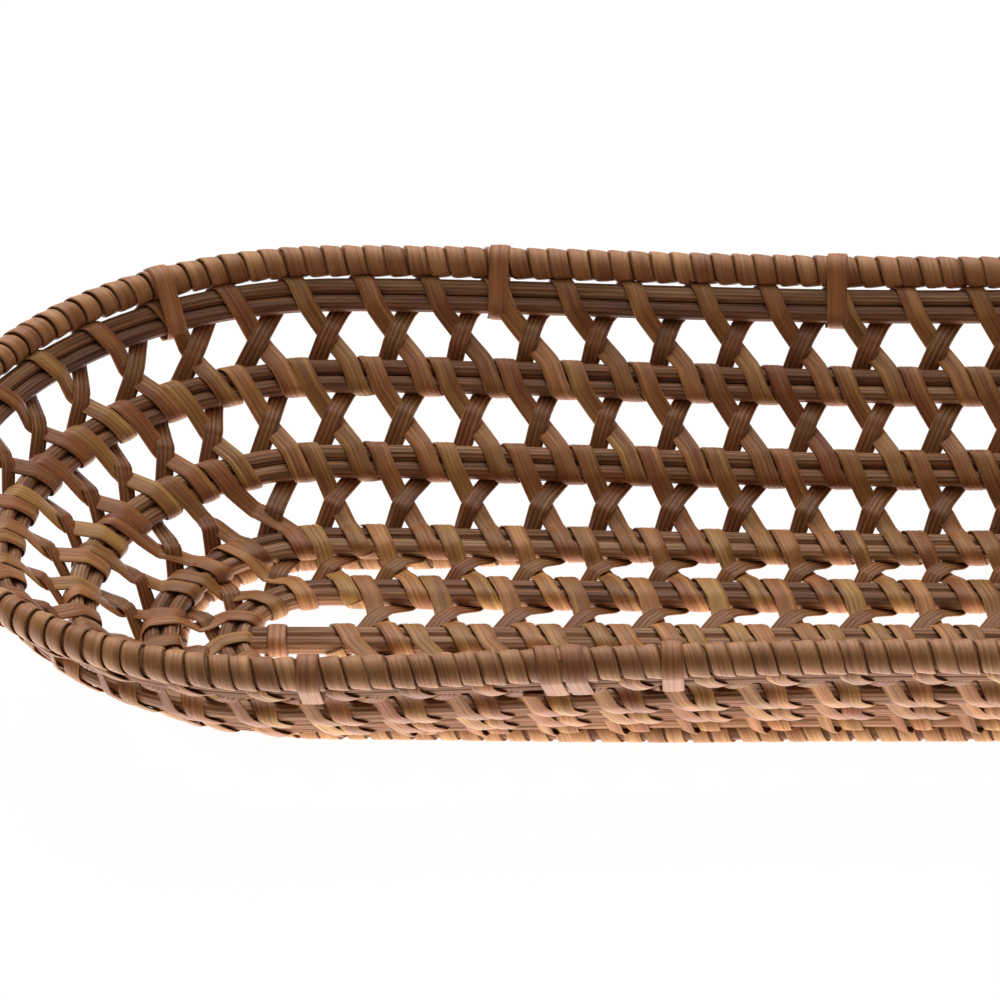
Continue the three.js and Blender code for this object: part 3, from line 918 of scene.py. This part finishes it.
@dataclass
class Lacing:
    """The peel between two rails: two strips that cross half-way and leave hexagons open."""

    tray: TrayFrame
    shop: Workshop
    name: str
    outer: Rail
    inner: Rail
    outer_places: np.ndarray
    inner_places: np.ndarray
    closed: bool = True
    phases: tuple[float, float] = (0.375, 0.375)
    shift: float = 1.7
    lean: float = 0.4
    back_shift: float = 1.0
    back_lean: float = 0.58
    hand: float = 0.3
    part: float = 0.4
    lift: float = 0.06
    closest: float = 0.4
    tone: float = 0.52
    tone_spread: float = 0.1
    tone_limits: tuple[float, float] = (0.2, 0.85)
    girth_limits: tuple[float, float] = (0.94, 1.05)
    section: Section = Section(3.9, 0.7, fullness=0.45, ridges=4.0, ridge_depth=0.34, skin_ridges=0.4, sides=36)

    def build(self) -> None:
        """Makes both strips."""
        for first, finish in enumerate((Finish.LACING, Finish.OLIVE)):
            node = f"{self.name}_{'ab'[first]}"
            self.shop.lay(node, self.path(first), self.section, finish)

    def path(self, first: int) -> Path:
        """The line of one strip.

        Args:
            first: 0 for the strip that starts down the inner face, 1 for the other.

        Returns:
            Its path.
        """
        rng = np.random.default_rng(sum(map(ord, self.name)) * 7 + first)
        count = len(self.outer_places)
        passes = count if self.closed else count - 1
        rows: list[tuple[np.ndarray, np.ndarray, float, float]] = []
        for index in range(passes):
            tone = float(np.clip(rng.normal(self.tone, self.tone_spread), *self.tone_limits))
            girth = float(rng.uniform(*self.girth_limits))
            front = (index + first) % 2 == 0
            rows += [(point, face, tone, girth) for point, face in self.one_pass(index, front, rng)]
        last = self.fold(passes, (passes + first) % 2 == 0)
        rows.append((*last, rows[0][2], rows[0][3]))
        points, faces, tones, girths = (np.array(column) for column in zip(*rows))
        return Path(points, faces, tones, girths)

    def place(self, index: int, outer: bool) -> float:
        """The place of a wrap on a rail, counted on round the tray.

        Args:
            index: number of the wrap.
            outer: True on the outer rail.

        Returns:
            Its place, a phase further on than the evenly spread ones.
        """
        places = self.outer_places if outer else self.inner_places
        rail = self.outer if outer else self.inner
        phase = self.phases[0] if outer else self.phases[1]
        count = len(places)
        if not self.closed:
            return float(places[index]) + rail.stray(float(places[index])) / rail.plan.columns
        here, after = (float(places[i % count] + 4 * (i // count)) for i in (index, index + 1))
        return here + (after - here) * (phase + rail.stray(here))

    def crowding(self, index: int, outer: bool) -> float:
        """How close the wraps stand on a rail.

        Args:
            index: number of the wrap.
            outer: True on the outer rail.

        Returns:
            The gap between them, as a share of the pitch along the sides.
        """
        rail = self.outer if outer else self.inner
        if not self.closed:
            return 1.0
        gap = (self.place(index + 1, outer) - self.place(index - 1, outer)) / 2
        # On a seam of the outline, the stretch ahead counts
        share = gap / rail.step(self.place(index, outer) + 1e-4, rail.plan.pitch)
        return float(np.clip(share, self.closest, 1.0))

    def fold(self, index: int, front: bool) -> tuple[np.ndarray, np.ndarray]:
        """The middle of the fold that a pass starts with, over a rail's edge.

        Args:
            index: number of the pass.
            front: True for a pass down the inner face.

        Returns:
            Its point and face direction.
        """
        rail = self.outer if front else self.inner
        sign = 1 if front else -1
        t = np.array([self.place(index, front)])
        lean, _ = rail.directions(t)
        return rail.at(t, sign * (self.tray.strand_offset + self.reach), 0.0)[0], sign * lean[0]

    @property
    def reach(self) -> float:
        """From the middle of a strand to the middle of a strip that lies on it."""
        return (self.tray.strand + self.section.thickness) / 2 + self.lift

    def over_rail(
        self, rail: Rail, place: float, way: int, sign: int, shift: float, lean_share: float
    ) -> list[tuple[np.ndarray, np.ndarray]]:
        """The points of a strip on one face of a rail, from the fold towards the other rail.

        Args:
            rail: the rail.
            place: the place of the fold.
            way: 1 where the pass leaves the fold along the rail and -1 where it arrives.
            sign: 1 on the inner face from the outer edge, with -1 turning both.
            shift: the step along the rail that the fold takes to this face.
            lean_share: share of the full lean that the strip takes across the rail, where wraps stand closer.

        Returns:
            Points and face directions.
        """
        offset, reach = self.tray.strand_offset, self.reach
        run_lean = (self.lean if sign > 0 else self.back_lean) * lean_share
        slant = reach * np.sqrt(0.5)
        # Past the rail the strip dips towards the middle of the wall, and runs on a little faster
        past, dip, ease = 1.6, 0.5, 0.15
        rows = [
            (offset + slant, slant, 0.7, 0.7, 0.55 * shift),
            (offset, reach, 0.0, 1.0, shift),
            (-offset, reach, 0.0, 1.0, shift + 2 * offset * run_lean),
            (-offset - past, reach - dip, 0.0, 1.0, shift + (2 * offset + past) * run_lean + ease * lean_share),
        ]
        made = []
        for h, n, face_h, face_n, run in rows:
            t = np.array([place + way * rail.step(place + 0.001 * way, run)])
            lean, inward = (d[0] for d in rail.directions(t))
            made.append((rail.at(t, sign * way * h, sign * n)[0], sign * (way * face_h * lean + face_n * inward)))
        return made

    def one_pass(self, index: int, front: bool, rng: np.random.Generator) -> list[tuple[np.ndarray, np.ndarray]]:
        """The points of one pass between the rails, from the fold that it starts with.

        Args:
            index: number of the pass.
            front: True down the inner face, False up behind the rails.
            rng: the strip's generator.

        Returns:
            Points and face directions.
        """
        sign = 1 if front else -1
        top, bottom = (self.outer, self.inner) if front else (self.inner, self.outer)
        start = self.place(index, front)
        end = self.place(index + 1, not front)
        shares = self.crowding(index, front), self.crowding(index + 1, not front)
        shifts = ((self.shift if front else self.back_shift) + rng.uniform(-self.hand, self.hand, 2)) * shares
        leaving = self.over_rail(top, start, 1, sign, shifts[0], shares[0])
        arriving = self.over_rail(bottom, end, -1, sign, shifts[1], shares[1])[::-1]
        # Half-way, the pass behind the rails comes to the inside of the other
        ends = np.array([leaving[-1][0], arriving[0][0]])
        towards = ends[1] - ends[0]
        length = np.linalg.norm(towards)
        across = leaving[-1][1] + arriving[0][1]
        across /= np.linalg.norm(across)
        t = self.outer.plan.place_of(ends.mean(0)[None, :2])
        middle = (top.at(t, 0.0, 0.0)[0] + bottom.at(t, 0.0, 0.0)[0]) / 2
        middle += ends.mean(0) - middle - across * np.dot(ends.mean(0) - middle, across)
        middle -= across * self.part
        flat = towards - across * np.dot(towards, across)
        flat *= min(1.9 * min(shares), 0.3 * length) / np.linalg.norm(flat)
        crossing = [(middle + flat * share, across) for share in (-1, 0, 1)]
        return [self.fold(index, front), *leaving, *crossing, *arriving]


@dataclass
class WallAndBase:
    """All the lacings, from the upper rail to the middle of the base."""

    tray: TrayFrame
    shop: Workshop
    wall_end: int = 15
    lower_end: int = 10
    base_end: int = 7
    # The base and centre lacings are toned paler than the wall's: painted light, for the light from above on the
    # level base
    base_tone: float = 0.66
    centre_tone: float = 0.68

    def between(self, count: int) -> np.ndarray:
        """Even shares over an end."""
        return np.arange(1, count) / count

    def nearest(self, count: int, shared: int) -> np.ndarray:
        """Shares over an end that fall on another lacing's places.

        The rounding goes up at a half, as it does in the part's own source.
        """
        return np.floor(self.between(count) * shared + 0.5) / shared

    def places_round(self, end_shares: np.ndarray) -> np.ndarray:
        """Places of the wraps round a whole rail."""
        side = np.linspace(0, 1, self.tray.plan.columns + 1)
        return np.concatenate([part + np.concatenate([side, 1 + end_shares]) for part in (0, 2)])

    def build(self) -> None:
        """Makes every lacing."""
        rails = self.tray.rails()
        wall, lower, base = (self.between(n) for n in (self.wall_end, self.lower_end, self.base_end))
        spreads = [
            ("upper_lacing", "upper_rail", "middle_rail", wall, wall),
            ("middle_lacing", "middle_rail", "lower_rail", wall, wall),
            ("lower_lacing", "lower_rail", "base_edge_rail", self.nearest(self.lower_end, self.wall_end), lower),
            ("base_lacing", "base_edge_rail", "base_inner_rail", self.nearest(self.base_end, self.lower_end), base),
        ]
        for name, outer, inner, outer_shares, inner_shares in spreads:
            places = (self.places_round(outer_shares), self.places_round(inner_shares))
            # The base lacing takes the paler tone: painted light from above
            tone = self.base_tone if name == "base_lacing" else Lacing.tone
            Lacing(self.tray, self.shop, name, rails[outer], rails[inner], *places, tone=tone).build()
        # Both sides' folds share their places along the centre rail, so the near ones lean a little
        columns = self.tray.plan.columns
        for side, sign, start, phases in (("far", 1, 0.0, (0.375, 0.175)), ("near", -1, 2.0, (0.375, 0.825))):
            centre = CentreRail("centre_rail", 0.0, self.tray.base_height, 0.0, self.tray.plan, side=sign)
            places = [start + (np.arange(columns) + phase) / columns for phase in phases]
            name = f"centre_lacing_{side}"
            inner = rails["base_inner_rail"]
            # The centre lacings, level on the base too, take the paler tone: painted light from above
            Lacing(self.tray, self.shop, name, inner, centre, *places, closed=False, tone=self.centre_tone).build()


@dataclass
class Wrap:
    """Peel that is wound a few turns round a group of round canes at one place on a rail."""

    rail: Rail
    place: float
    circles: Sequence[tuple[float, float, float]]
    turns: float = 1.0
    advance: float = 0.0
    lift: float = 0.3
    start: float = -90.0

    def path(self, rng: np.random.Generator, spacing: float = 0.8, fineness: int = 240) -> Path:
        """The line of the peel, drawn tight round the canes.

        Args:
            rng: the piece's generator.
            spacing: from one of its points to the next.
            fineness: the directions to a turn in which the canes are felt for.

        Returns:
            Its path.
        """
        angles = np.linspace(0, 2 * np.pi * self.turns, int(fineness * self.turns)) + np.radians(self.start)
        places = np.array(self.circles)
        reach = places[:, 0, None] * np.cos(angles) + places[:, 1, None] * np.sin(angles) + places[:, 2, None]
        farthest = np.argmax(reach, axis=0)
        radius = places[farthest, 2] + self.lift
        h = places[farthest, 0] + radius * np.cos(angles)
        n = places[farthest, 1] + radius * np.sin(angles)
        run = np.concatenate([[0.0], np.cumsum(np.hypot(np.diff(h), np.diff(n)))])
        even = np.linspace(0, run[-1], int(run[-1] / spacing))
        h, n, angles = (np.interp(even, run, values) for values in (h, n, angles))
        along = (even / run[-1] - 0.5) * self.turns * self.advance
        # On a seam of the outline, the stretch ahead counts
        t = np.array([self.place + self.rail.step(self.place + 0.0005, float(a)) for a in along])
        lean, inward = self.rail.directions(t)
        faces = lean * np.cos(angles)[:, None] + inward * np.sin(angles)[:, None]
        return Path.plain(self.rail.at(t, h, n), faces, float(rng.uniform(0.35, 0.65)))


@dataclass
class Rim:
    """The rim: a round core in close turns of peel, a tie over its splice, and the lashings that hold it."""

    tray: TrayFrame
    shop: Workshop
    binding: Winding = Winding(
        Section(4.1, 0.6, fullness=0.3, ridges=2.0, ridge_depth=0.1),
        pitch=4.15, steps=20, tilt=0.11, unevenness=0.07, seed=3.0,
    )
    lashing: Section = Section(4.5, 0.6, fullness=0.35, ridges=2.0, ridge_depth=0.1, sides=18)
    seam: float = -150.0
    splice_column: float = 14.3
    far_columns: tuple[float, ...] = (2.37, 7.38, 12.3, 17.3)
    near_columns: tuple[float, ...] = (2.4, 7.4, 12.76, 17.67)
    end_columns: tuple[float, ...] = (6, 12.6)
    end_count: int = 15
    points: int = 260
    wobble: float = 0.1
    lacing_depth: float = 0.66
    corner: float = 0.3

    def build(self) -> None:
        """Makes the rim's pieces."""
        rail = self.tray.rails()["upper_rail"]
        h, n = self.tray.rim_place()
        radius = self.tray.rim_diameter / 2
        splice = 2 + self.splice_column / self.tray.plan.columns
        count = self.points
        t = splice + np.linspace(0.001, 3.999, count)
        lean, _ = rail.directions(t)
        rng = np.random.default_rng(5)
        points = rail.at(t, h + self.wobble * smooth_noise(rng, count, 7), n)
        self.shop.bind("rim_core", "rim_binding", Path.plain(points, lean), radius, self.binding, Finish.RIM)
        self.lashings(rail, splice, (h, n, radius))

    def lashings(self, rail: Rail, splice: float, rim: tuple[float, float, float]) -> None:
        """Makes the lashings, and the tie over the splice, which goes round the upper rail too.

        Args:
            rail: the upper rail.
            splice: the place of the splice.
            rim: h, n and radius of the rim.
        """
        # The strip goes round the rim, the two strands in their lacing, and the lacing's folds between them
        strand = self.tray.strand / 2 + self.lacing_depth
        edge = self.tray.strand + self.tray.peel
        side = self.tray.strand / 2 + self.corner
        circles = [
            rim,
            *((sign * self.tray.strand_offset, 0.0, strand) for sign in (1, -1)),
            *((edge, sign * side, self.corner) for sign in (1, -1)),
        ]
        tie = Wrap(rail, splice, circles, turns=2.1, advance=4.6, start=self.seam)
        path = tie.path(np.random.default_rng(58))
        self.shop.lay("rim_splice_tie", path, self.lashing, Finish.TIE)
        lashed = [
            part + column / columns
            for part, row, columns in (
                (0, self.far_columns, self.tray.plan.columns),
                (1, self.end_columns, self.end_count),
                (2, self.near_columns, self.tray.plan.columns),
                (3, self.end_columns, self.end_count),
            )
            for column in row
        ]
        for number, place in enumerate(lashed, start=1):
            node = f"rim_lashing_{number:02d}"
            wrap = Wrap(rail, place, circles, turns=1.1, advance=0.6, start=self.seam)
            path = wrap.path(np.random.default_rng(60 + number))
            self.shop.lay(node, path, self.lashing, Finish.TIE)


@dataclass
class Foot:
    """The foot ring: a round core with peel wound round it, a little apart.

    Along the far side it wanders out from under the base edge rail, and at the left of the near side it
    stands back.
    """

    tray: TrayFrame
    shop: Workshop
    radius: float = 2.1
    inset: float = 0.3
    clearance: float = 0.06
    wander: float = 4.0
    recess: float = 3.2
    wobble: float = 0.25
    points: int = 300
    binding: Winding = Winding(
        Section(3.75, 0.5, fullness=0.4, ridges=2.0, ridge_depth=0.1, sides=14),
        pitch=4.45, steps=16, tilt=0.0, unevenness=0.15, seed=11.0,
    )

    def build(self) -> None:
        """Makes the foot ring's pieces."""
        edge = self.tray.rails()["base_edge_rail"]
        rail = Rail("foot_ring", edge.half - self.inset, self.radius + self.clearance, 0.0, self.tray.plan)
        count = self.points
        t = 0.5 + np.linspace(0, 4, count)
        around = np.mod(t, 4.0)
        out = np.interp(around, [0.0, 0.04, 0.24, 0.8, 1.0, 4.0], [0.0, 0.0, 1.0, 1.0, 0.0, 0.0])
        back = np.interp(around, [2.7, 3.1, 3.4, 3.8], [0.0, 1.0, 1.0, 0.0])
        out = self.wander * out * out * (3 - 2 * out) - self.recess * back
        rng = np.random.default_rng(23)
        points = rail.at(t, out + self.wobble * smooth_noise(rng, count, 9), 0.0)
        _, inward = rail.directions(t)
        path = Path.plain(points, inward)
        self.shop.bind("foot_ring_core", "foot_ring_binding", path, self.radius, self.binding, Finish.FOOT)


@dataclass
class CentreEnds:
    """The peel round the two ends of the centre rail."""

    tray: TrayFrame
    shop: Workshop
    section: Section = Section(3.9, 0.6, fullness=0.45, ridges=3.0, ridge_depth=0.2, skin_ridges=1.0, sides=20)

    def build(self) -> None:
        """Makes both bindings."""
        offset = self.tray.strand_offset
        circles = [(offset, 0.0, self.tray.strand / 2), (-offset, 0.0, self.tray.strand / 2)]
        for end, sign in (("right", 1), ("left", -1)):
            node = f"centre_rail_{end}_binding"
            low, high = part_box(node)
            rail = CentreRail("centre_rail", 0.0, self.tray.base_height, 0.0, self.tray.plan, side=sign)
            middle = (low.x + high.x) / 2 / MM
            place = (0.5 if sign > 0 else 2.5) + middle * sign / self.tray.plan.straight
            wrap = Wrap(rail, place, circles, turns=1.15, advance=0.8, lift=0.35)
            path = wrap.path(np.random.default_rng(80 + sign))
            self.shop.lay(node, path, self.section, Finish.TIE)


# ---- Stage


@dataclass
class Studio:
    """A pale floor, soft light from all round and above, and the camera."""

    floor_size: float = 6.0
    floor_depth: float = 0.05
    floor_glow: float = 2.4
    floor_whiteness: float = 0.92
    glow_edge: tuple[float, float] = (-0.14, -0.11)
    camera_place: tuple[float, float, float] = (-3.89, -1181.67, 777.56)
    camera_aim: tuple[float, float, float] = (-89.82, 46.21, 7.08)
    camera_roll: float = -2.0709
    lens: float = 259.396
    surround: float = 0.14

    def build(self) -> None:
        """Makes the floor, the lights and the camera."""
        self.floor()
        self.world()
        self.lamp("back_softbox", (-0.2, 1.0, 1.3), (-0.05, 0.0, 0.0), size=1.6, power=34.0)
        self.lamp("top_softbox", (0.2, -0.3, 2.1), (-0.05, 0.0, 0.0), size=1.2, power=11.0)
        self.camera()

    def floor(self) -> None:
        """Makes a plain white floor, which the camera sees bright, with a faint shadow."""
        half = self.floor_size / 2
        mesh = bpy.data.meshes.new("pale_floor")
        square = ((-half, -half), (half, -half), (half, half), (-half, half))
        corners = [(x, y, -self.floor_depth * MM) for x, y in square]
        mesh.from_pydata(corners, [], [(0, 1, 2, 3)])
        material = bpy.data.materials.new("matt_white_paper")
        add = open_nodes(material)
        paper = add("ShaderNodeBsdfDiffuse", {"Color": linear_colour("F4F4F4")}).outputs[0]
        white = add("ShaderNodeEmission", {"Strength": 1.05}).outputs[0]
        # The light table under the paper ends just in front of the tray, which leaves the rim's front dark
        glow = add("ShaderNodeEmission", {"Strength": self.floor_glow}).outputs[0]
        table = add("ShaderNodeAddShader", {0: paper, 1: glow}).outputs[0]
        dim = add("ShaderNodeBsdfDiffuse", {"Color": linear_colour("7A7A7A")}).outputs[0]
        place = add("ShaderNodeTexCoord").outputs["Object"]
        depth = add("ShaderNodeSeparateXYZ", {0: place}).outputs["Y"]
        values = {"Value": depth, "From Min": self.glow_edge[0], "From Max": self.glow_edge[1]}
        inside = add("ShaderNodeMapRange", values).outputs["Result"]
        lit = add("ShaderNodeMixShader", {0: inside, 1: dim, 2: table}).outputs[0]
        seen = add("ShaderNodeMixShader", {0: self.floor_whiteness, 1: paper, 2: white}).outputs[0]
        rays = add("ShaderNodeLightPath").outputs["Is Camera Ray"]
        mixed = add("ShaderNodeMixShader", {0: rays, 1: lit, 2: seen}).outputs[0]
        # From below, the floor lets the eye through to the tray's underside
        below = add("ShaderNodeNewGeometry").outputs["Backfacing"]
        clear = add("ShaderNodeBsdfTransparent").outputs[0]
        both = add("ShaderNodeMixShader", {0: below, 1: mixed, 2: clear})
        add("ShaderNodeOutputMaterial", {"Surface": both.outputs[0]})
        mesh.materials.append(material)
        add_object("pale_floor", mesh)

    def world(self) -> None:
        """Makes a white surround, which lights softly and which the camera sees as plain white."""
        world = bpy.data.worlds.new("white_surround")
        add = open_nodes(world)
        soft = add("ShaderNodeBackground", {"Color": (1.0, 1.0, 1.0, 1.0), "Strength": self.surround})
        seen = add("ShaderNodeBackground", {"Color": (1.0, 1.0, 1.0, 1.0), "Strength": 1.0})
        rays = add("ShaderNodeLightPath")
        values = {0: rays.outputs["Is Camera Ray"], 1: soft.outputs[0], 2: seen.outputs[0]}
        mixed = add("ShaderNodeMixShader", values).outputs[0]
        add("ShaderNodeOutputWorld", {"Surface": mixed})
        bpy.context.scene.world = world

    def lamp(
        self, name: str, place: tuple[float, float, float], aim: tuple[float, float, float], size: float, power: float
    ) -> None:
        """Makes one square soft lamp.

        Args:
            name: the lamp's name.
            place: where it hangs, in metres.
            aim: the point that it faces.
            size: its side.
            power: its power in watts.
        """
        data = bpy.data.lights.new(name, "AREA")
        data.shape = "SQUARE"
        data.size = size
        data.energy = power
        light = add_object(name, data)
        light.location = place
        light.rotation_euler = (Vector(aim) - Vector(place)).to_track_quat("-Z", "Y").to_euler()

    def camera(self) -> None:
        """Sets the camera where the photograph was taken from."""
        place = Vector(self.camera_place) * MM
        aim = Vector(self.camera_aim) * MM
        data = bpy.data.cameras.new("photograph_camera")
        data.lens = self.lens
        data.sensor_width = 36.0
        data.clip_start = 0.05
        data.clip_end = 20.0
        camera = add_object("photograph_camera", data)
        level = (aim - place).to_track_quat("-Z", "Y").to_matrix()
        roll = Matrix.Rotation(np.radians(self.camera_roll), 3, "Z")
        camera.matrix_world = Matrix.Translation(place) @ (level @ roll).to_4x4()
        bpy.context.scene.camera = camera


def main() -> None:
    """Builds the tray from its rails outwards, then the studio."""
    logging.basicConfig(level=logging.INFO, format="%(name)s %(message)s")
    bpy.context.scene.view_settings.view_transform = "Standard"
    tray = TrayFrame()
    shop = Workshop()
    for assembly in (Rails, WallAndBase, Rim, Foot, CentreEnds):
        assembly(tray, shop).build()
    Studio().build()


if __name__ == "__main__":
    main()
